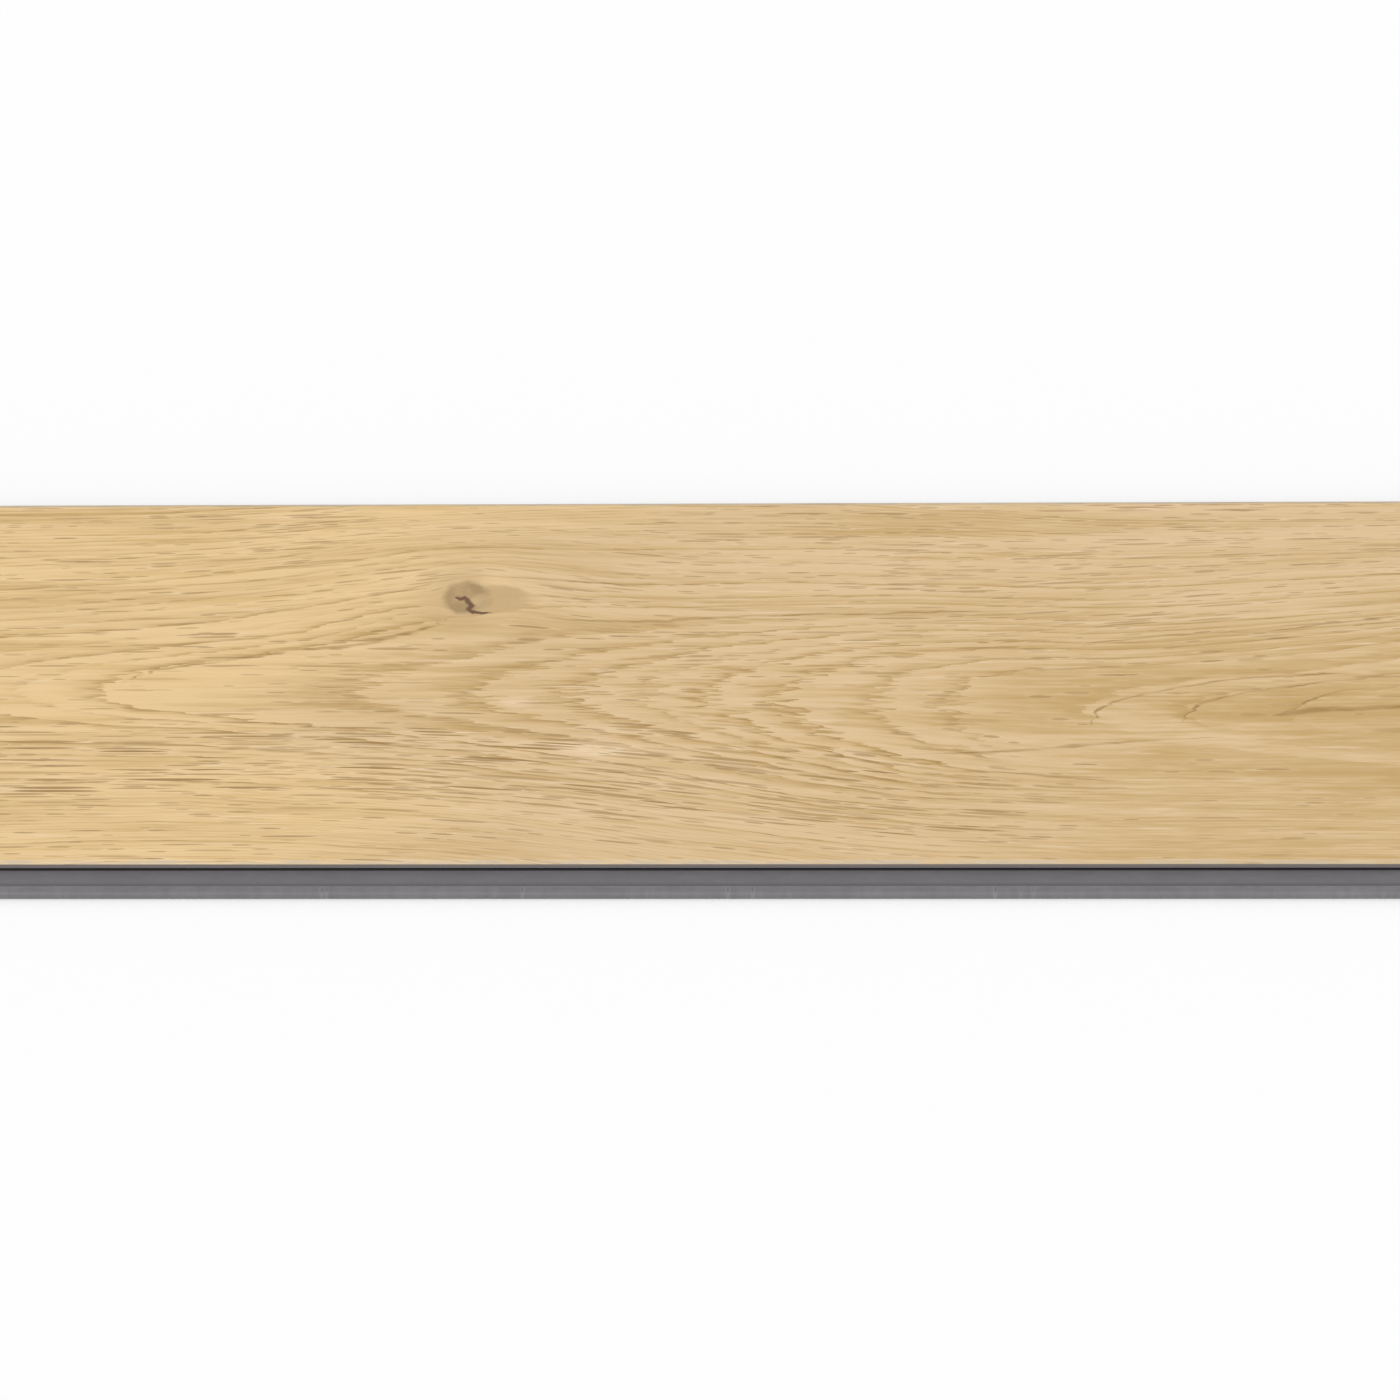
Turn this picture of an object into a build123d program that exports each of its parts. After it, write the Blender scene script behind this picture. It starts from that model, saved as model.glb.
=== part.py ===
"""Herringbone vinyl plank: a rigid core board milled with a click lock on all four edges, under a printed
oak decor layer with bevelled edges. Millimetres, +Z up, the walking face on top.

The origin is on the underside, below the middle of the face. The length runs along X. The front (-Y) and
left (-X) edges carry a locking strip, and the back (+Y) and right (+X) edges carry a tongue, so the tongue
of one plank clicks onto the strip of the next along either edge, as a herringbone floor needs.
"""

from build123d import *
import os
from math import radians, tan

# The face and the two layers
FACE_LENGTH = 600.0
FACE_WIDTH = 120.0
THICKNESS = 5.0
DECOR_THICKNESS = 0.6
BEVEL_WIDTH = 1.1
BEVEL_DEPTH = 0.42

# The strip edge: an upper lip, a slot under it, and a strip with a locking ridge that reaches out below
LIP_DEPTH = 2.1
SLOT_HEIGHT = 1.2
SLOT_DEPTH = 1.9
SHELF_REACH = 3.8
RELIEF_WIDTH = 0.8
RELIEF_DEPTH = 0.5
RIDGE_RISE = 0.4
RIDGE_WIDTH = 2.6
LOCK_ANGLE = 60.0

# The tongue edge: a short tongue, and a recess under it that takes the next plank's strip
TONGUE_REACH = 1.7
TONGUE_GAP = 0.05
HEEL_GAP = 0.05
LOCK_GAP = 0.05
RIDGE_GAP = 0.15
STRIP_GAP = 0.3

# Corners that the cutters leave: rounded ones, and the small slope at the mouth of the recess
CUTTER_ROUND = 0.15
RIDGE_ROUND = 0.9
FOOT_ROUND = 0.25
TONGUE_ROUND = 0.4
MOUTH_SLOPE = 0.25

# Heights above the underside
core_top = THICKNESS - DECOR_THICKNESS
slot_roof = THICKNESS - LIP_DEPTH
shelf = slot_roof - SLOT_HEIGHT
relief = shelf - RELIEF_DEPTH
ridge_top = shelf + RIDGE_RISE
groove_roof = ridge_top + RIDGE_GAP
heel = shelf + HEEL_GAP
tongue_top = slot_roof - TONGUE_GAP


def flank_reach(height):
    """How far the ridge's locking flank is from the edge of the face, at a height."""
    return SHELF_REACH + RELIEF_WIDTH + (height - relief) / tan(radians(LOCK_ANGLE))


strip_reach = flank_reach(ridge_top) + RIDGE_WIDTH
recess_reach = strip_reach + STRIP_GAP


def strip_section(plane, edge):
    """The locking strip, from the back of the slot out past the edge of the face, towards -x of the plane."""
    corners = (
        ((edge + SLOT_DEPTH, 0), 0),
        ((edge + SLOT_DEPTH, shelf), 0),
        ((edge - SHELF_REACH, shelf), CUTTER_ROUND),
        ((edge - SHELF_REACH - RELIEF_DEPTH, relief), CUTTER_ROUND),
        ((edge - flank_reach(relief), relief), CUTTER_ROUND),
        ((edge - flank_reach(ridge_top), ridge_top), CUTTER_ROUND),
        ((edge - strip_reach, ridge_top), RIDGE_ROUND),
        ((edge - strip_reach, 0), FOOT_ROUND),
    )
    points, radii = zip(*corners)
    with BuildSketch(plane) as section:
        with BuildLine():
            FilletPolyline(*points, radius=radii, close=True)
        make_face()
    return section.sketch


def tongue_section(plane, edge):
    """The tongue, from the edge of the face out towards +x of the plane."""
    corners = (
        ((edge, heel), 0),
        ((edge + TONGUE_REACH, heel), TONGUE_ROUND),
        ((edge + TONGUE_REACH, tongue_top), TONGUE_ROUND),
        ((edge, tongue_top), 0),
    )
    points, radii = zip(*corners)
    with BuildSketch(plane) as section:
        with BuildLine():
            FilletPolyline(*points, radius=radii, close=True)
        make_face()
    return section.sketch


def milled_section(plane, span):
    """What is milled away from a block along two opposite edges: below the lip at -x, below the heel at +x."""
    strip_edge, tongue_edge = -span / 2, span / 2
    with BuildSketch(plane) as section:
        with Locations((strip_edge, 0)):
            Rectangle(SLOT_DEPTH, slot_roof, align=Align.MIN)
        with BuildLine():
            Polyline(
                (tongue_edge, 0),
                (tongue_edge - recess_reach - MOUTH_SLOPE, 0),
                (tongue_edge - recess_reach, MOUTH_SLOPE),
                (tongue_edge - recess_reach, groove_roof),
                (tongue_edge - flank_reach(groove_roof) + LOCK_GAP, groove_roof),
                (tongue_edge - flank_reach(heel) + LOCK_GAP, heel),
                (tongue_edge, heel),
                close=True,
            )
        make_face()
    return section.sketch


# Planes across the long edges, seen from the right end, and across the end edges, seen from the front
left_end = Plane.YZ.offset(-FACE_LENGTH / 2)
front_edge = Plane.XZ.offset(FACE_WIDTH / 2)

with BuildPart() as core_board:
    Box(FACE_LENGTH, FACE_WIDTH, core_top, align=(Align.CENTER, Align.CENTER, Align.MIN))
    extrude(tongue_section(left_end, FACE_WIDTH / 2), amount=FACE_LENGTH)
    extrude(tongue_section(front_edge, FACE_LENGTH / 2), amount=-FACE_WIDTH)
    # Each milling pass runs on through the tongue at its far end
    extrude(milled_section(left_end, FACE_WIDTH), amount=FACE_LENGTH + TONGUE_REACH, mode=Mode.SUBTRACT)
    extrude(milled_section(front_edge, FACE_LENGTH), amount=-FACE_WIDTH - TONGUE_REACH, mode=Mode.SUBTRACT)
    # Each strip starts where the other edge's slot ends, and stops short of the recess at its far end
    strip_trim = SLOT_DEPTH + recess_reach
    extrude(strip_section(left_end.offset(SLOT_DEPTH), -FACE_WIDTH / 2), amount=FACE_LENGTH - strip_trim)
    extrude(strip_section(front_edge.offset(-SLOT_DEPTH), -FACE_LENGTH / 2), amount=strip_trim - FACE_WIDTH)
core_board.part.label = "core_board"

with BuildPart() as decor_layer:
    with BuildSketch(Plane.XY.offset(core_top)):
        Rectangle(FACE_LENGTH, FACE_WIDTH)
    extrude(amount=DECOR_THICKNESS)
    face = decor_layer.faces().sort_by(Axis.Z)[-1]
    chamfer(face.edges(), length=BEVEL_WIDTH, length2=BEVEL_DEPTH, reference=face)
decor_layer.part.label = "decor_layer"

os.makedirs("parts", exist_ok=True)
for piece in (core_board, decor_layer):
    export_step(piece.part, f"parts/{piece.part.label}.step")
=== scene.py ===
from math import cos, pi, radians, sin

import bpy
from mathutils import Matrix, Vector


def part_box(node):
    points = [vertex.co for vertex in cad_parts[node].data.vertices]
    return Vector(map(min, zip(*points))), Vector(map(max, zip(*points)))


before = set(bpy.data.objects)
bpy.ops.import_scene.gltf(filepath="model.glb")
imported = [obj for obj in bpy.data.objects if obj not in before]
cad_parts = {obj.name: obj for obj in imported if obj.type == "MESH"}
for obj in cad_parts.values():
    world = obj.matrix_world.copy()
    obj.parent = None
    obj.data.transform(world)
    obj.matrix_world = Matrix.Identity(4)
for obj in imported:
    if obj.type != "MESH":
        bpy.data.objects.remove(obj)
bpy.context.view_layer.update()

# Core board: the grey board of mineral-filled vinyl that carries the face. It is extruded as a sheet and
# cut to size, and the lock along its edges is milled, so the cut faces show cutter lines and small chips.


class Pattern:
    """A value that changes over a surface. A formula of patterns becomes Math nodes in their tree."""

    def __init__(self, tree, socket):
        self.tree = tree
        self.socket = socket

    def math(self, operation, *values):
        node = self.tree.nodes.new("ShaderNodeMath")
        node.operation = operation
        for socket, value in zip(node.inputs, values):
            feed(self.tree, socket, value)
        return Pattern(self.tree, node.outputs["Value"])

    def __add__(self, other):
        return self.math("ADD", self, other)

    def __sub__(self, other):
        return self.math("SUBTRACT", self, other)

    def __rsub__(self, other):
        return self.math("SUBTRACT", other, self)

    def __mul__(self, other):
        return self.math("MULTIPLY", self, other)

    def __truediv__(self, other):
        return self.math("DIVIDE", self, other)

    def __rtruediv__(self, other):
        return self.math("DIVIDE", other, self)

    def __pow__(self, other):
        return self.math("POWER", self, other)

    def __abs__(self):
        return self.math("ABSOLUTE", self)

    __radd__ = __add__
    __rmul__ = __mul__

    def rise(self, low, high):
        """0 up to low and 1 from high on, with a smooth step between. It falls where low is above high."""
        node = self.tree.nodes.new("ShaderNodeMapRange")
        node.interpolation_type = "SMOOTHSTEP"
        feed(self.tree, node.inputs["Value"], self)
        feed(self.tree, node.inputs["From Min"], low)
        feed(self.tree, node.inputs["From Max"], high)
        return Pattern(self.tree, node.outputs["Result"])


def feed(tree, socket, value):
    """Link a pattern or a node's output to a socket, or set a plain value on it."""
    if isinstance(value, Pattern):
        tree.links.new(value.socket, socket)
    elif isinstance(value, bpy.types.NodeSocket):
        tree.links.new(value, socket)
    else:
        socket.default_value = value


def shade(red, green, blue):
    """A colour as it is read off a screen, from 0 to 255, as the shader's linear colour."""
    linear = [((c / 255 + 0.055) / 1.055) ** 2.4 for c in (red, green, blue)]
    return (*linear, 1.0)


def blended(share, first, second):
    """The first colour where the share is 0, the second where it is 1."""
    tree = share.tree
    node = tree.nodes.new("ShaderNodeMix")
    node.data_type = "RGBA"
    feed(tree, node.inputs["Factor"], share)
    feed(tree, node.inputs["A"], first)
    feed(tree, node.inputs["B"], second)
    return node.outputs["Result"]


def millimetres(tree):
    """Where a point is on the plank, in millimetres along, across and up."""
    place = tree.nodes.new("ShaderNodeTexCoord")
    scale = tree.nodes.new("ShaderNodeMapping")
    scale.inputs["Scale"].default_value = (1000, 1000, 1000)
    tree.links.new(place.outputs["Object"], scale.inputs["Vector"])
    split = tree.nodes.new("ShaderNodeSeparateXYZ")
    tree.links.new(scale.outputs["Vector"], split.inputs["Vector"])
    return [Pattern(tree, socket) for socket in split.outputs]


def effect_group(name, results):
    """A node group for an effect that runs along one direction: the group, its inputs and its output node."""
    group = bpy.data.node_groups.new(name, "ShaderNodeTree")
    for given in ("Along", "Across", "Length", "Width", "Seed"):
        group.interface.new_socket(given, in_out="INPUT", socket_type="NodeSocketFloat")
    for result in results:
        group.interface.new_socket(result, in_out="OUTPUT", socket_type="NodeSocketFloat")
    start = group.nodes.new("NodeGroupInput")
    inputs = [Pattern(group, socket) for socket in start.outputs[:5]]
    return group, inputs, group.nodes.new("NodeGroupOutput")


def streak_group():
    """Noise drawn out along one direction, as fibres and cutter lines are, with its sizes in millimetres."""
    group, (along, across, length, width, seed), result = effect_group("streaks", ["Value"])
    place = group.nodes.new("ShaderNodeCombineXYZ")
    feed(group, place.inputs["X"], along / length)
    feed(group, place.inputs["Y"], across / width)
    feed(group, place.inputs["Z"], seed)
    noise = group.nodes.new("ShaderNodeTexNoise")
    noise.inputs["Scale"].default_value = 1
    noise.inputs["Detail"].default_value = 2
    noise.inputs["Roughness"].default_value = 0.5
    feed(group, noise.inputs["Vector"], place.outputs["Vector"])
    feed(group, result.inputs["Value"], noise.outputs["Fac"])
    return group


def dash_group():
    """Slim spindles scattered along one direction, as pores and nicks are: the distance from the nearest one,
    three numbers of its own from 0 to 1, and where its middle is."""
    numbers = ["Size", "Luck", "Depth"]
    results = ["Distance", *numbers, "Middle Along", "Middle Across"]
    group, (along, across, length, width, seed), result = effect_group("dashes", results)
    place = group.nodes.new("ShaderNodeCombineXYZ")
    feed(group, place.inputs["X"], along / length + seed)
    feed(group, place.inputs["Y"], across / width)
    cells = group.nodes.new("ShaderNodeTexVoronoi")
    cells.voronoi_dimensions = "2D"
    cells.inputs["Scale"].default_value = 1
    feed(group, cells.inputs["Vector"], place.outputs["Vector"])
    feed(group, result.inputs["Distance"], cells.outputs["Distance"])
    own = group.nodes.new("ShaderNodeSeparateColor")
    feed(group, own.inputs["Color"], cells.outputs["Color"])
    for name, socket in zip(numbers, own.outputs):
        feed(group, result.inputs[name], socket)
    middle = group.nodes.new("ShaderNodeSeparateXYZ")
    feed(group, middle.inputs["Vector"], cells.outputs["Position"])
    feed(group, result.inputs["Middle Along"], (Pattern(group, middle.outputs["X"]) - seed) * length)
    feed(group, result.inputs["Middle Across"], Pattern(group, middle.outputs["Y"]) * width)
    return group


STREAKS = streak_group()
DASHES = dash_group()


def placed(group, values):
    """One use of a group with its own values, in the order along, across, length, width and seed."""
    tree = values[0].tree
    node = tree.nodes.new("ShaderNodeGroup")
    node.node_tree = group
    for socket, value in zip(node.inputs, values):
        feed(tree, socket, value)
    return {socket.name: Pattern(tree, socket) for socket in node.outputs}


def streaks(along, across, length, width, seed):
    """Streaks of about this length and width in millimetres, from 0 to 1."""
    return placed(STREAKS, (along, across, length, width, seed))["Value"]


def dashes(along, across, length, width, seed):
    """Dashes of about this length and width in millimetres, as a dictionary of the group's results."""
    return placed(DASHES, (along, across, length, width, seed))


def chosen(dash, share):
    """1 on the dashes that are kept when only a share of them is, 0 on the others."""
    return dash["Luck"].math("LESS_THAN", dash["Luck"], share)


def new_material(name):
    """A material with one Principled shader, ready for its colours."""
    material = bpy.data.materials.new(name)
    material.use_nodes = True
    return material, material.node_tree, material.node_tree.nodes["Principled BSDF"]


# The darker grey is painted shade, in the recess before the ridge and in the nicks' hollows
CORE_SHADE = shade(92, 89, 92)
CORE_GREY = shade(106, 103, 106)
CORE_PALE = shade(136, 133, 136)
CORE_LIP = shade(142, 133, 130)
# The near black painted as shade inside the slots
CORE_SLOT_SHADE = shade(48, 43, 45)
HALF_LENGTH = 300.0
HALF_WIDTH = 60.0
SLOT_ROOF = 2.9
SLOT_FLOOR = 1.7
SLOT_DEPTH = 1.9
MILLED_DEPTH = 8.3
SHELF_REACH = 3.8
GROOVE_REACH = 4.6
RIDGE_REACH = 5.12
NICK_LENGTH = 1.6
NICK_WIDTH = 6.0
NICK_SHARE = 0.06
CORE_ROUGHNESS = 0.62
CUTTER_DEPTH = 0.00006


def core_material():
    material, tree, surface = new_material("grey_core")
    along, across, height = millimetres(tree)
    past_side = abs(across) - HALF_WIDTH
    past_end = abs(along) - HALF_LENGTH
    outset = across.math("MAXIMUM", past_side, past_end)
    # Cutter lines run along each edge, so they turn at the ends
    end_edge = across.math("GREATER_THAN", past_end, past_side)
    run = along + (across - along) * end_edge
    cloud = streaks(along, across, 14, 7, 11) - 0.5
    mottle = streaks(run, outset + height, 4, 1.5, 12) - 0.5
    milled = outset.rise(-MILLED_DEPTH - 0.5, -MILLED_DEPTH)
    cutter = (streaks(run, outset + height, 50, 0.3, 13) - 0.5) * milled
    ridge = outset.rise(RIDGE_REACH - 0.1, RIDGE_REACH)
    chatter = (streaks(run, outset, 2.2, 9, 14) - 0.5) * ridge
    light = 0.18 + cloud * 0.45 + mottle * 0.35 + cutter * 0.3 + ridge * 0.12 + chatter * 0.45
    colour = blended(light.rise(0, 1), CORE_GREY, CORE_PALE)
    # Painted shade: the recess between the shelf and the ridge is darkened
    groove_shade = outset.rise(SHELF_REACH - 0.6, GROOVE_REACH) * outset.rise(RIDGE_REACH, RIDGE_REACH - 0.2)
    colour = blended(groove_shade * 0.8, colour, CORE_SHADE)
    # Painted highlight: a pale line along the ridge's inner edge, where the edge catches the light
    ridge_edge = outset.rise(RIDGE_REACH - 0.05, RIDGE_REACH + 0.1)
    wear_and_highlight = ridge_edge * outset.rise(RIDGE_REACH + 0.6, RIDGE_REACH + 0.2)
    colour = blended(wear_and_highlight * (0.2 + mottle), colour, CORE_PALE)
    # Nicks across the ridge, each with a pale side and with painted shade in its hollow
    nick = dashes(run, outset, NICK_LENGTH, NICK_WIDTH, 3)
    nicked = chosen(nick, NICK_SHARE) * ridge * nick["Depth"]
    colour = blended(nick["Distance"].rise(0.45, 0.3) * nicked * 0.6, colour, CORE_PALE)
    hollow = nick["Distance"].rise(0.25, 0.1) * nicked
    colour = blended(hollow * 0.7, colour, CORE_SHADE)
    lip = height.rise(SLOT_ROOF - 0.05, SLOT_ROOF + 0.05) * outset.rise(0.1, 0)
    colour = blended(lip * 0.7, colour, CORE_LIP)
    # Painted shade: the insides of the slots are darkened. The slots are along the front and left edges only
    inset = across.math("MINIMUM", across + HALF_WIDTH, along + HALF_LENGTH)
    slot_shade = inset.rise(-0.15, 0.2) * inset.rise(SLOT_DEPTH + 0.2, SLOT_DEPTH + 0.05)
    under_lip = height.rise(SLOT_ROOF + 0.1, SLOT_ROOF - 0.1)
    over_shelf = height.rise(SLOT_FLOOR - 0.2, SLOT_FLOOR - 0.05)
    colour = blended(slot_shade * under_lip * over_shelf, colour, CORE_SLOT_SHADE)
    feed(tree, surface.inputs["Base Color"], colour)
    feed(tree, surface.inputs["Roughness"], CORE_ROUGHNESS + cutter * 0.2 + mottle * 0.15)
    relief = tree.nodes.new("ShaderNodeBump")
    relief.inputs["Distance"].default_value = CUTTER_DEPTH
    relief.inputs["Strength"].default_value = 0.6
    feed(tree, relief.inputs["Height"], cutter + mottle - hollow)
    feed(tree, surface.inputs["Normal"], relief.outputs["Normal"])
    return material


core_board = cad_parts["core_board"]
core_board.data.materials.clear()
core_board.data.materials.append(core_material())

# Decor layer: the printed oak film with its clear wear layer, pressed onto the core. The press embosses the
# pores of the print, and the edges of the face are cut to a narrow bevel that shows the pale film.

_, DECOR_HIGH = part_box("decor_layer")
FACE = DECOR_HIGH.z * 1000
OAK_HONEY = shade(231, 198, 146)
OAK_ROSE = shade(221, 191, 147)
OAK_PALE = shade(238, 213, 179)
OAK_OLIVE = shade(206, 172, 104)
OAK_TAN = shade(194, 160, 103)
OAK_PORE = shade(157, 122, 68)
KNOT_BROWN = shade(165, 137, 95)
KNOT_TAN = shade(197, 166, 118)
KNOT_DARK = shade(98, 66, 40)
BEVEL_CREAM = shade(194, 177, 150)
# Where the growth rings' arches have their tips along the plank, with how dark each one is
RINGS = (
    (330, 0.6),
    (285, 0.5),
    (235, 0.6),
    (190, 0.5),
    (153, 0.45),
    (127, 0.7),
    (102, 0.5),
    (66, 0.6),
    (47, 0.6),
    (23, 0.9),
    (3, 1.0),
    (-14, 0.45),
    (-31, 0.8),
    (-58, 0.7),
    (-88, 0.45),
    (-158, 0.9),
)
RING_WIDTH = 4.0
ARCH_SPREAD = 3.0
LOWER_SPREAD = 1.9
# The arches' axis lies below the middle of the plank, and drops a little to the right
AXIS_BELOW = 5.0
AXIS_DROP = 0.009
# How far the fibres bend over the knot, sag at the lower right and lift at the upper right
KNOT_BEND = 6.5
LOWER_SAG = 17.0
UPPER_LIFT = 7.5
# How the inside of the last arches at the right is toned, by where along the plank an arch there would have
# its tip
INNER_TONES = (
    (58, 0.0),
    (70, 0.12),
    (98, 0.12),
    (105, -0.1),
    (122, -0.1),
    (130, 0.2),
    (340, 0.2),
)
KNOT_ALONG = -62.6
KNOT_ACROSS = 27.2
KNOT_RADIUS = 4.0
KNOT_STRETCH = 1.5
# Patches in the knot's eye, from its middle: along, across, half length, half width, and how much browner
# the patch is than the rest
KNOT_PATCHES = (
    (3.4, 3.7, 2.8, 2.4, 0.4),
    (-2.8, -3.6, 3.6, 1.8, 0.35),
    (-5.4, 0.4, 1.5, 3.4, 0.2),
    (3.6, -0.8, 3.0, 2.6, -0.3),
)
# The crack in the knot: its level parts, by place along, and its steep part, by place down, with half widths
LEVEL_CRACK = (
    (-3.4, 0.2, 0.0),
    (-2.7, 0.0, 0.7),
    (-1.9, -0.4, 0.95),
    (-0.5, 0.0, 1.1),
    (0.3, -0.4, 0.0),
    (0.5, -4.4, 0.0),
    (1.3, -4.7, 0.95),
    (3.9, -5.2, 0.65),
    (5.4, -5.1, 0.45),
    (7.0, -5.0, 0.0),
)
STEEP_CRACK = (
    (-0.6, -0.8, 0.0),
    (0.1, -0.4, 1.2),
    (1.3, 0.2, 1.4),
    (2.5, 1.3, 1.4),
    (3.9, 0.6, 1.2),
    (4.7, 1.2, 1.1),
    (5.6, 1.8, 0.0),
)
# Dark lines in the grain, each row a run of lines along the plank: along, across, half width
GRAIN_LINES = (
    (
        (-154, -1.6, 0.0),
        (-143, 3.1, 0.5),
        (-124, 6.4, 0.5),
        (-105, 9.9, 0.6),
        (-95, 10.8, 0.8),
        (-86, 12.8, 1.0),
        (-79, 14.7, 1.1),
        (-72, 17.6, 0.9),
        (-66, 21.2, 0.0),
        (-48, 34.2, 0.0),
        (-38, 33.2, 0.45),
        (-24, 31.6, 0.4),
        (-12, 30.6, 0.0),
        (98, 10.9, 0.0),
        (110, 12.5, 0.4),
        (124, 14.0, 0.35),
        (133, 14.8, 0.0),
        (147, 15.1, 0.35),
        (162, 17.3, 0.4),
        (176, 19.6, 0.3),
        (190, 21.6, 0.0),
    ),
    (
        (-46, 28.2, 0.0),
        (-38, 27.3, 0.4),
        (-24, 26.0, 0.4),
        (-10, 25.6, 0.0),
        (101.0, -16.5, 0.0),
        (102.6, -14.0, 0.7),
        (104.0, -11.2, 0.9),
        (107.5, -8.0, 0.6),
        (116.0, -5.5, 0.45),
        (134.0, -1.5, 0.45),
        (144.5, -0.1, 0.45),
        (155.0, 0.65, 0.5),
        (163.0, 0.95, 0.45),
        (170.0, 1.2, 0.0),
    ),
    (
        (-41, 20.4, 0.0),
        (-34, 19.6, 0.45),
        (-18, 19.0, 0.5),
        (-8, 19.2, 0.6),
        (-2, 19.9, 0.8),
        (4, 20.5, 0.5),
        (18, 20.9, 0.45),
        (48, 21.6, 0.55),
        (62, 22.0, 0.6),
        (74, 22.3, 0.0),
        (125.0, -15.5, 0.0),
        (126.8, -12.0, 0.9),
        (130.5, -8.4, 0.7),
        (138.5, -6.0, 0.4),
        (147.7, -4.1, 0.4),
        (156.7, -2.7, 0.35),
        (168.0, -1.0, 0.0),
    ),
    (
        (54, -25.3, 0.0),
        (64, -24.9, 0.35),
        (84, -24.0, 0.6),
        (96, -22.6, 1.0),
        (106, -21.6, 0.6),
        (120, -20.5, 0.3),
        (136, -19.6, 0.0),
        (149.0, -12.8, 0.0),
        (153.0, -11.9, 1.2),
        (158.0, -10.9, 1.5),
        (170.0, -10.5, 1.0),
        (182.0, -9.8, 0.9),
        (204.0, -8.8, 0.6),
        (235.0, -7.5, 0.0),
    ),
    (
        (68, -30.0, 0.0),
        (84, -31.6, 0.45),
        (98, -33.2, 0.45),
        (114, -34.7, 0.0),
        (151.0, -13.0, 0.0),
        (153.0, -11.0, 0.6),
        (158.5, -7.6, 0.55),
        (166.0, -4.8, 0.35),
        (174.0, -3.4, 0.0),
    ),
)
# The pores' lengths and widths, and a pore's least radius and how much it may grow, as shares of those
FINE_PORE = (9, 0.75)
SLIM_PORE = (22, 0.9)
LOW_PORE = (30, 1.0)
PORE_RADIUS = 0.17
PORE_GROWTH = 0.3
OAK_ROUGHNESS = 0.42
PORE_DEPTH = 0.00008
# Pale spots in the print: along, across, half length, half width
PALE_SPOTS = (
    (-27.0, -21.9, 11.0, 5.5),
    (-48.0, -8.5, 5.0, 2.5),
    (-26.0, 2.8, 4.0, 1.2),
)


def traced(value, points, extend):
    """A height that is given at some places along a value and runs straight between them."""
    places, heights = zip(*points)
    first, low = min(places), min(heights)
    run, climb = max(places) - first, max(heights) - low
    corners = sorted(((place - first) / run, (height - low) / climb) for place, height in points)
    node = value.tree.nodes.new("ShaderNodeFloatCurve")
    node.mapping.extend = extend
    curve = node.mapping.curves[0]
    curve.points[0].location = corners[0]
    curve.points[1].location = corners[-1]
    for corner in corners[1:-1]:
        curve.points.new(*corner)
    for point in curve.points:
        point.handle_type = "VECTOR"
    node.mapping.update()
    feed(value.tree, node.inputs["Value"], (value - first) / run)
    return Pattern(value.tree, node.outputs["Value"]) * climb + low


def ring_number(tip):
    """Counts the growth rings outwards, from where a ring's arch has its tip along the plank."""
    inner = traced(tip, [(place, number) for number, (place, _) in enumerate(RINGS)], "EXTRAPOLATED")
    last, _ = RINGS[-1]
    side = -last * ARCH_SPREAD
    beyond = tip.math("MAXIMUM", last - tip, 0) * ARCH_SPREAD
    outer = ((beyond + side) ** 0.5 - side ** 0.5) / RING_WIDTH
    uneven = outer.math("SINE", outer * 2.1) * 0.3 + outer.math("SINE", outer * 0.83) * 0.5
    return inner + outer + uneven


def fibre_line(along, across):
    """Where the fibre through a point would lie across the plank if it had no bends."""
    knot_along = along - KNOT_ALONG
    knot_across = across - KNOT_ACROSS
    knot_reach = (knot_along / KNOT_STRETCH) ** 2 + knot_across ** 2
    parting = 1 - KNOT_RADIUS ** 2 / along.math("MAXIMUM", knot_reach, KNOT_RADIUS ** 2)
    parted = knot_across * parting + KNOT_ACROSS
    reach = 38 + 17 * knot_along.rise(2, -2)
    over = along.math("EXPONENT", -1 * (knot_along / reach) ** 2) * parted.rise(7, 25) * KNOT_BEND
    over = over * (1 - 0.75 * parted.rise(36, 56))
    sag = along.rise(-100, 110) * parted.rise(5, -40) * LOWER_SAG
    lift = along.rise(60, 200) * parted.rise(-4, 18) * parted.rise(56, 30) * UPPER_LIFT
    return parted - over + sag - lift


def growth_rings(along, fibre, ragged):
    """The growth rings as the saw cut them, arches that open to the right: a ring's number and its tip."""
    wander = streaks(along, fibre, 70, 22, 1) - 0.5
    waver = streaks(along, fibre, 26, 5, 9) - 0.5
    levelled = along.rise(-115, -195) * fibre.rise(-5, -17) * 3
    calm = 1 - 0.75 * along.rise(40, 100)
    off_axis = fibre + AXIS_BELOW + along * AXIS_DROP + levelled + (wander * 4 + waver * 1.6) * calm
    middle = along.math("EXPONENT", -1 * ((along - 5) / 85) ** 2)
    right = along.rise(50, 110) / (1 + (off_axis / 18) ** 2)
    upper_spread = ARCH_SPREAD + 4 * middle / (1 + (off_axis / 30) ** 2) - 2.5 * right
    lower_spread = LOWER_SPREAD + 2.6 * middle / (1 + (off_axis / 12) ** 2) - 1.35 * right
    spread = upper_spread + (lower_spread - upper_spread) * off_axis.rise(1, -6)
    tip = along - off_axis ** 2 / spread + ragged / (1 + (off_axis / 16) ** 2) ** 0.5
    return ring_number(tip), tip


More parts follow.
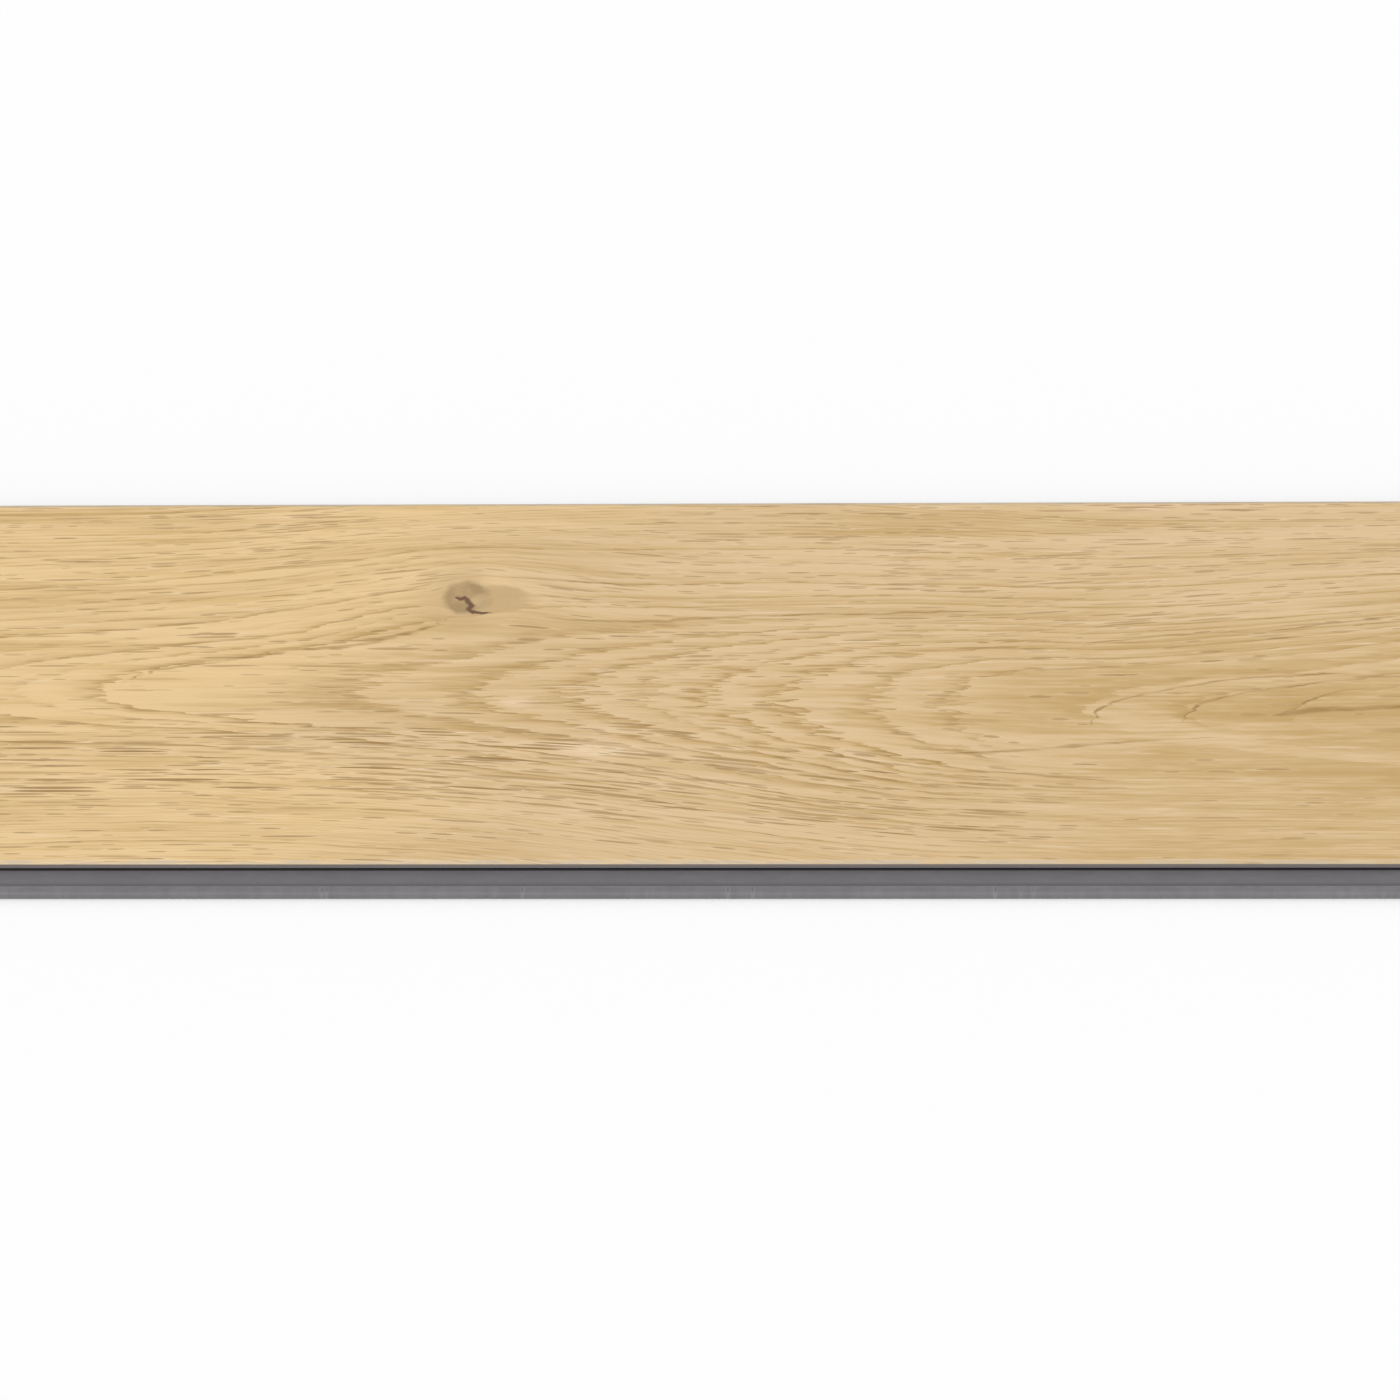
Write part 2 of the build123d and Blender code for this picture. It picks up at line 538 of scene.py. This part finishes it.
def busyness(along, fibre):
    """How busy the grain is: crowded below the middle and at the top right, quiet at the lower right."""
    zone = streaks(along, fibre, 90, 14, 7).rise(0.3, 0.62)
    low_band = fibre.rise(-11, -17) * fibre.rise(-43, -33)
    top_right = along.rise(-40, 60) * fibre.rise(12, 30)
    top_left = along.rise(-50, -110) * fibre.rise(6, 16)
    right = along.rise(65, 120) * (0.5 * fibre.rise(14, 6) + 0.5 * fibre.rise(-6, -10))
    left_tip = along.rise(-140, -158) * fibre.rise(-15, -7) * fibre.rise(9, 3)
    quiet = right + 0.8 * left_tip
    knot_reach = ((along - KNOT_ALONG - 4) / 1.7) ** 2 + (fibre - KNOT_ACROSS + 8) ** 2
    near_knot = knot_reach.rise(110, 40)
    crowd = 0.5 + 0.35 * zone + 0.6 * low_band + 0.6 * top_right + 0.35 * top_left
    return crowd * (1 - 0.8 * quiet) * (1 - 0.9 * near_knot)


def ring_share(along, fibre):
    """The share of the pores that is printed: few on the pale side of a ring, most on its dark side."""
    ring, _ = growth_rings(along, fibre, 0)
    late = 1 - ring.math("FRACT", ring)
    return (0.15 + 0.53 * late ** 4) * busyness(along, fibre)


def even_share(along, fibre):
    """The share of the long pores that is printed, the same on both sides of a ring."""
    return 0.24 * busyness(along, fibre)


def low_share(along, fibre):
    """The share of the long lines that crowd into a band below the middle, from the left end on."""
    return fibre.rise(-13, -19) * fibre.rise(-42, -33) * along.rise(100, 0) * 0.62


def pores(along, fibre, length, width, seed, share):
    """Pores of about this size: the ones that are printed, a painted highlight round each printed one, and
    the dents that the press leaves for all of them."""
    dash = dashes(along, fibre, length, width, seed)
    radius = PORE_RADIUS + dash["Size"] * PORE_GROWTH
    dent = dash["Distance"].rise(radius, radius * 0.7)
    share_there = share(dash["Middle Along"], dash["Middle Across"])
    printed = chosen(dash, share_there) * (0.3 + dash["Depth"] * 0.7)
    # Painted highlight: a pale ring round each printed pore, where its embossed edge catches the light
    rim = dash["Distance"].rise(radius * 1.9, radius * 1.2)
    return dent * printed, rim * printed, dent


def grain_line(along, across, points):
    """A run of lines through points with half widths. A line tapers out where its half width is 0."""
    line = traced(along, [(place, side) for place, side, _ in points], "HORIZONTAL")
    half = traced(along, [(place, width) for place, _, width in points], "HORIZONTAL")
    # A hair's width is kept where the line ends, because a step of no width would turn over
    half = half.math("MAXIMUM", half, 0.001)
    return abs(across - line).rise(half, half * 0.3)


def oval(along, across, half_length, half_width):
    """How far a place is from the middle of an oval, squared, with 1 on the oval's rim."""
    return (along / half_length) ** 2 + (across / half_width) ** 2


def knot_colour(along, across, colour):
    """The knot over the oak's colour: a grey-brown eye, a tan tail to its right and a dark crooked crack."""
    knot_along = along - KNOT_ALONG
    knot_across = across - KNOT_ACROSS
    wobble = streaks(along, across, 4, 3, 16) - 0.5
    tail_half = 5.1 - 5.1 * (along.math("MAXIMUM", knot_along, 0) / 21) ** 3
    tail_end = streaks(along, across, 9, 0.7, 22) * 8
    tail_gap = abs(knot_across + 0.04 * knot_along + wobble * 2)
    tail = tail_gap.rise(tail_half + 0.5, tail_half - 0.8) * knot_along.rise(2, 6)
    tail = tail * (knot_along + tail_end).rise(25, 17)
    reach = ((knot_along / 1.1) ** 2 + knot_across ** 2) ** 0.5 + wobble * 2.6
    halo = reach.rise(17, 6) * knot_along.rise(8, 0)
    colour = blended(halo * 0.55, colour, KNOT_TAN)
    colour = blended(tail * (0.75 + tail_end * 0.05 - wobble), colour, KNOT_TAN)
    brown = streaks(along, across, 2.2, 1.6, 17) * 0.6 + 0.4
    for patch_along, patch_across, half_length, half_width, share in KNOT_PATCHES:
        patch = oval(knot_along - patch_along, knot_across - patch_across, half_length, half_width)
        brown = brown + patch.rise(1.6, 0.1) * share
    colour = blended(reach.rise(6.7, 4.5) * brown.rise(0, 1), colour, KNOT_BROWN)
    jag = (streaks(along, across, 1.2, 1.2, 18) - 0.5) * 0.7
    level = grain_line(knot_along, knot_across + jag, LEVEL_CRACK)
    steep = grain_line(-1 * knot_across, knot_along + jag, STEEP_CRACK)
    crack = level.math("MAXIMUM", level, steep)
    return blended(crack ** 1.3 * (0.95 + wobble * 0.4), colour, KNOT_DARK)


def oak_material():
    material, tree, surface = new_material("oak_print")
    along, across, height = millimetres(tree)
    fibre = fibre_line(along, across)
    # The growth rings, each darkest along its inner edge, which is toothed
    tip_play = 36 - 22 * along.rise(70, 110) - 20 * along.rise(-100, -140)
    ragged = (streaks(along, fibre, 16, 0.8, 2) - 0.5) * tip_play
    ring, tip = growth_rings(along, fibre, ragged)
    late = 1 - ring.math("FRACT", ring)
    own = tree.nodes.new("ShaderNodeTexWhiteNoise")
    own.noise_dimensions = "1D"
    feed(tree, own.inputs["W"], ring.math("FLOOR", ring))
    side = ring.rise(len(RINGS) - 1, len(RINGS))
    own_strength = 0.2 + 0.8 * Pattern(tree, own.outputs["Value"]) ** 2
    strength = traced(tip, RINGS, "EXTRAPOLATED") * (1 - side) + own_strength * side
    strength = strength * (1 - 0.8 * along.rise(50, 95) * fibre.rise(-6, -9))
    busy = busyness(along, fibre)
    teeth = streaks(along, fibre, 11, 0.65, 24).rise(0.36, 0.64)
    dark_side = late ** 2 * strength * (0.55 + 0.45 * busy) * (0.6 + 0.55 * teeth)
    top = fibre.rise(8, 24) * (0.4 + 0.6 * along.rise(0, 60))
    broken = (streaks(along, fibre, 30, 1.5, 8) - top * 0.1).rise(0.34, 0.54)
    edge = late.rise(0.72, 0.94) * strength * broken * (0.25 + 0.75 * teeth)
    edge = edge * (0.25 + 0.75 * busy) * (1 - 0.55 * top)
    fine, fine_rim_highlights, fine_dents = pores(along, fibre, *FINE_PORE, 0, ring_share)
    slim, slim_rim_highlights, slim_dents = pores(along, fibre, *SLIM_PORE, 20.5, even_share)
    low, low_rim_highlights, _ = pores(along, fibre, *LOW_PORE, 60.5, low_share)
    # Streaks and bands between the pores, from fine to wide
    thread = streaks(along, fibre, 25, 0.6, 4) - 0.5
    felt = streaks(along, fibre, 9, 0.35, 27) - 0.5
    band = streaks(along, fibre, 80, 2.5, 5) - 0.5
    wide_band = streaks(along, fibre, 110, 7, 23) - 0.5
    cloud = streaks(along, across, 130, 38, 6) - 0.5
    rose = (along / 300 + cloud * 0.8).rise(-0.45, -0.05)
    inner = traced(tip, INNER_TONES, "HORIZONTAL")
    shaded = along.rise(0, 130) * fibre.rise(30, -5) * 0.28
    arches = fibre.rise(18, 6) * fibre.rise(-22, -10) * along.rise(85, 60)
    still = along.rise(60, 120) * fibre.rise(14, 4)
    tone = 0.2 + dark_side * (0.9 + 0.3 * arches) + band + wide_band * (0.9 + 0.8 * top) + inner + shaded
    tone = tone + thread * (0.75 + 0.45 * still) + felt * (0.4 + 0.4 * still) - 0.05 * arches
    # Honey at the left, rose at the right, olive streaks, tan shading, pale glints and painted pore
    # highlights
    colour = blended(rose, OAK_HONEY, OAK_ROSE)
    olive = streaks(along, fibre, 55, 3, 26).rise(0.52, 0.72) * (1 - 0.6 * rose)
    colour = blended(olive * 0.45, colour, OAK_OLIVE)
    colour = blended(tone.rise(0, 1), colour, OAK_TAN)
    glint = streaks(along, fibre, 26, 0.9, 21).rise(0.6, 0.75)
    for spot_along, spot_across, half_length, half_width in PALE_SPOTS:
        spot = oval(along - spot_along, across - spot_across, half_length, half_width)
        glint = glint.math("MAXIMUM", glint, (spot + band * 3 + thread * 3).rise(1.5, 0.0) * 0.8)
    rim_highlights = fine_rim_highlights + slim_rim_highlights + low_rim_highlights
    colour = blended((glint * 0.5 + rim_highlights * 0.25).rise(0, 1), colour, OAK_PALE)
    # The dark lines and the pores, printed over the rest
    wavy = across + streaks(along, across, 8, 30, 15) - 0.5
    stepped = along + ragged * 0.4
    wear_and_highlight = streaks(along, across, 14, 4, 29).rise(0.3, 0.6)
    lines = grain_line(stepped, wavy, GRAIN_LINES[0])
    for points in GRAIN_LINES[1:]:
        lines = lines.math("MAXIMUM", lines, grain_line(stepped, wavy, points))
    lines = lines * (0.15 + 0.4 * wear_and_highlight + 0.45 * teeth)
    dark = edge * 0.85
    for mark in (fine * 0.66, slim * 0.7, low, lines * 0.9):
        dark = dark + mark - dark * mark
    colour = blended(dark, colour, OAK_PORE)
    colour = knot_colour(along, across, colour)
    scuffed = 0.25 + 0.75 * streaks(along, across, 9, 1.2, 19).rise(0.3, 0.7)
    colour = blended(height.rise(FACE - 0.02, FACE - 0.1) * scuffed, colour, BEVEL_CREAM)
    feed(tree, surface.inputs["Base Color"], colour)
    feed(tree, surface.inputs["Roughness"], OAK_ROUGHNESS + (fine + slim) * 0.15 + thread * 0.1)
    relief = tree.nodes.new("ShaderNodeBump")
    relief.invert = True
    relief.inputs["Distance"].default_value = PORE_DEPTH
    relief.inputs["Strength"].default_value = 0.5
    feed(tree, relief.inputs["Height"], fine_dents * 0.5 + slim_dents * 0.5 - thread * 0.3)
    feed(tree, surface.inputs["Normal"], relief.outputs["Normal"])
    return material


decor_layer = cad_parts["decor_layer"]
decor_layer.data.materials.clear()
decor_layer.data.materials.append(oak_material())

# Floor and light: a white studio floor, an even white room and one large soft lamp over the front left.

FLOOR_SIZE = 8.0
FLOOR_GAP = 0.0002
FLOOR_COLOUR = (0.97, 0.97, 0.97, 1)
FLOOR_ROUGHNESS = 0.9
ROOM_LIGHT = 0.62
LAMP_LIGHT = 0.4
LAMP_TILT = radians(30)
LAMP_TURN = radians(-25)
LAMP_SPREAD = radians(35)

floor_mesh = bpy.data.meshes.new("floor")
half_floor = FLOOR_SIZE / 2
floor_signs = ((-1, -1), (1, -1), (1, 1), (-1, 1))
floor_corners = [(x * half_floor, y * half_floor, -FLOOR_GAP) for x, y in floor_signs]
floor_mesh.from_pydata(floor_corners, [], [(0, 1, 2, 3)])
floor = bpy.data.objects.new("floor", floor_mesh)
bpy.context.scene.collection.objects.link(floor)
floor_white, _, floor_surface = new_material("floor_white")
floor_surface.inputs["Base Color"].default_value = FLOOR_COLOUR
floor_surface.inputs["Roughness"].default_value = FLOOR_ROUGHNESS
floor_surface.inputs["Specular IOR Level"].default_value = 0
floor_mesh.materials.append(floor_white)

# The room is full white to the camera and in reflections, and dimmer as a light
room = bpy.data.worlds.new("room")
room.use_nodes = True
room_light = room.node_tree.nodes["Background"]
room_light.inputs["Color"].default_value = (1, 1, 1, 1)
room_rays = room.node_tree.nodes.new("ShaderNodeLightPath")
seen = Pattern(room.node_tree, room_rays.outputs["Is Camera Ray"])
for kind in ("Is Glossy Ray", "Is Transmission Ray"):
    seen = seen.math("MAXIMUM", seen, room_rays.outputs[kind])
feed(room.node_tree, room_light.inputs["Strength"], ROOM_LIGHT + (1 - ROOM_LIGHT) * seen)
bpy.context.scene.world = room

lamp = bpy.data.objects.new("lamp", bpy.data.lights.new("lamp", "SUN"))
lamp.data.energy = LAMP_LIGHT * pi / cos(LAMP_TILT)
lamp.data.angle = LAMP_SPREAD
lamp.rotation_euler = (LAMP_TILT, 0, LAMP_TURN)
bpy.context.scene.collection.objects.link(lamp)

# Camera: a long lens in front of the plank, looking down on its face and its front edge.

VIEW_WIDTH = 0.3655
VIEW_HEIGHT = radians(52)
VIEW_TURN = radians(3.6)
VIEW_LEAN = radians(-2.93)
AIM_ACROSS = -0.0073
LENS = 135.0
SENSOR = 36.0

camera = bpy.data.objects.new("camera", bpy.data.cameras.new("camera"))
camera.data.lens = LENS
camera.data.sensor_width = SENSOR
distance = VIEW_WIDTH * LENS / SENSOR
reach = distance * cos(VIEW_HEIGHT)
camera.location = (
    reach * sin(VIEW_TURN),
    AIM_ACROSS - reach * cos(VIEW_TURN),
    DECOR_HIGH.z + distance * sin(VIEW_HEIGHT),
)
camera.rotation_euler = (pi / 2 - VIEW_HEIGHT, 0, VIEW_TURN)
# The camera leans a little to hold the front edge level in the picture
camera.rotation_euler.rotate_axis("Z", VIEW_LEAN)
bpy.context.scene.collection.objects.link(camera)
bpy.context.scene.camera = camera
bpy.context.scene.view_settings.view_transform = "Standard"
